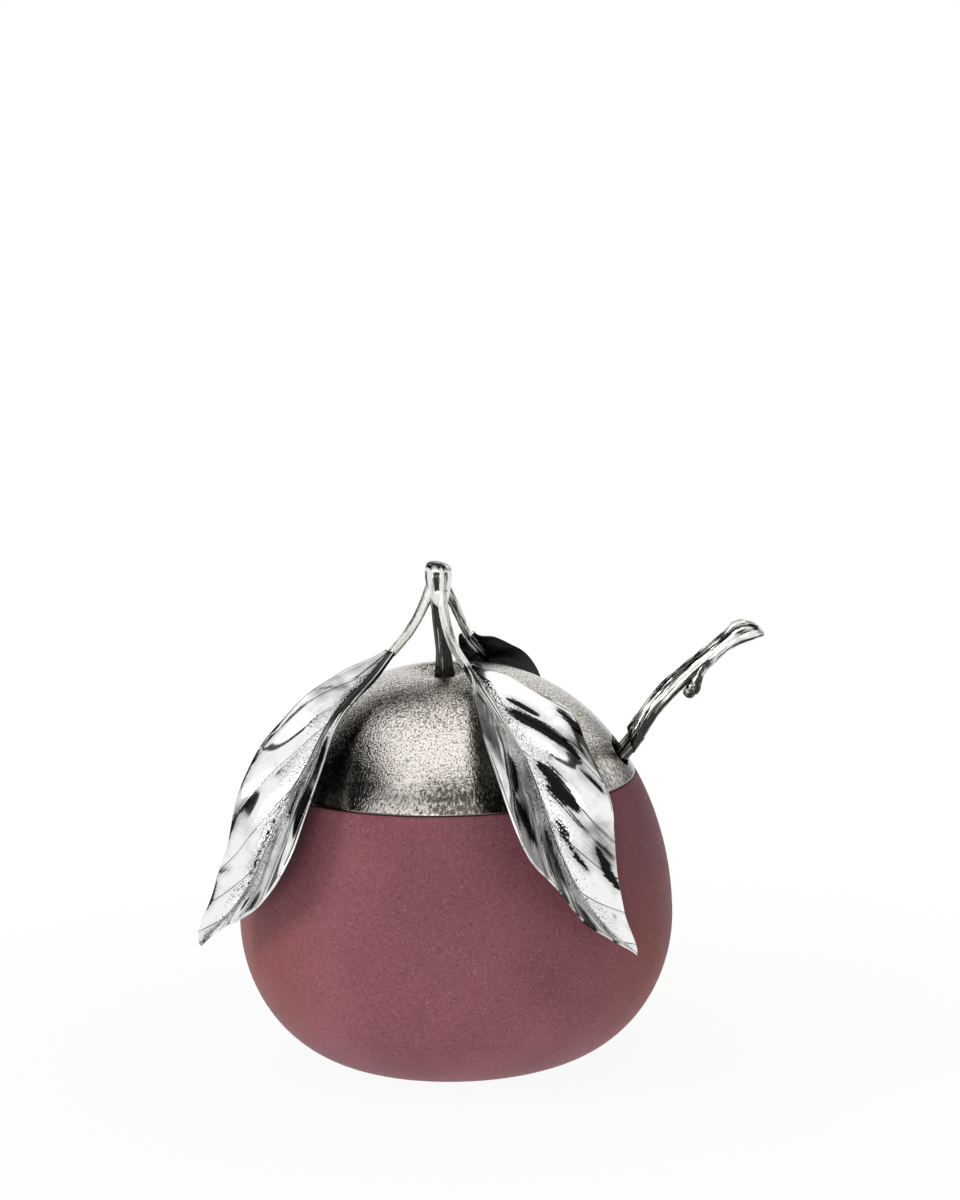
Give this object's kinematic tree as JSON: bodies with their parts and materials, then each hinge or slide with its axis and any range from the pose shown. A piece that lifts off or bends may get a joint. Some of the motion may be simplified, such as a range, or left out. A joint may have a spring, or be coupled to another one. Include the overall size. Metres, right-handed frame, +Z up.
{
  "type": "jam pot",
  "caption": "Fruit-shaped jam pot: glazed round pot, domed metal lid with a twig stem and folded leaves as its handle, and a twig-handled spoon through a hole in the lid.",
  "frame": {"origin": "centre of the pot's flat foot, on the table", "axes": "+Z up along the pot's axis, +X towards the spoon's handle, -Y towards the side shown in front"},
  "size_m": [0.1351, 0.1227, 0.1218],
  "materials": {
    "plum_glaze": "satin speckled plum glaze",
    "grained_silver": "cast skin with a fine peel grain, lightly polished",
    "leaf_silver": "polished, with engraved veins",
    "cast_silver": "cast bark, dark in the grooves, polished on the ridges",
    "plain_silver": "plain polished"
  },
  "bodies": {
    "pot": {"pot_body": "plum_glaze"},
    "lid": {"lid_dome": "grained_silver", "lid_collar": "plain_silver", "lid_stem": "cast_silver", "stem_washer": "plain_silver", "stem_nut": "plain_silver", "petiole_left": "cast_silver", "petiole_front": "cast_silver", "petiole_rear": "cast_silver", "leaf_left": "leaf_silver", "leaf_front": "leaf_silver", "leaf_rear": "leaf_silver"},
    "spoon": {"spoon_bowl": "plain_silver", "spoon_shank": "plain_silver", "spoon_twig": "cast_silver", "spoon_bud": "cast_silver"}
  },
  "joints": [
    {"name": "lid_lift", "type": "slide", "parent": "pot", "child": "lid", "axis": [0, 0, 1], "range_m": [0, 0.11]},
    {"name": "spoon_draw", "type": "slide", "parent": "lid", "child": "spoon", "axis": [0.6494, 0, 0.7604], "range_m": [0, 0.04]}
  ]
}
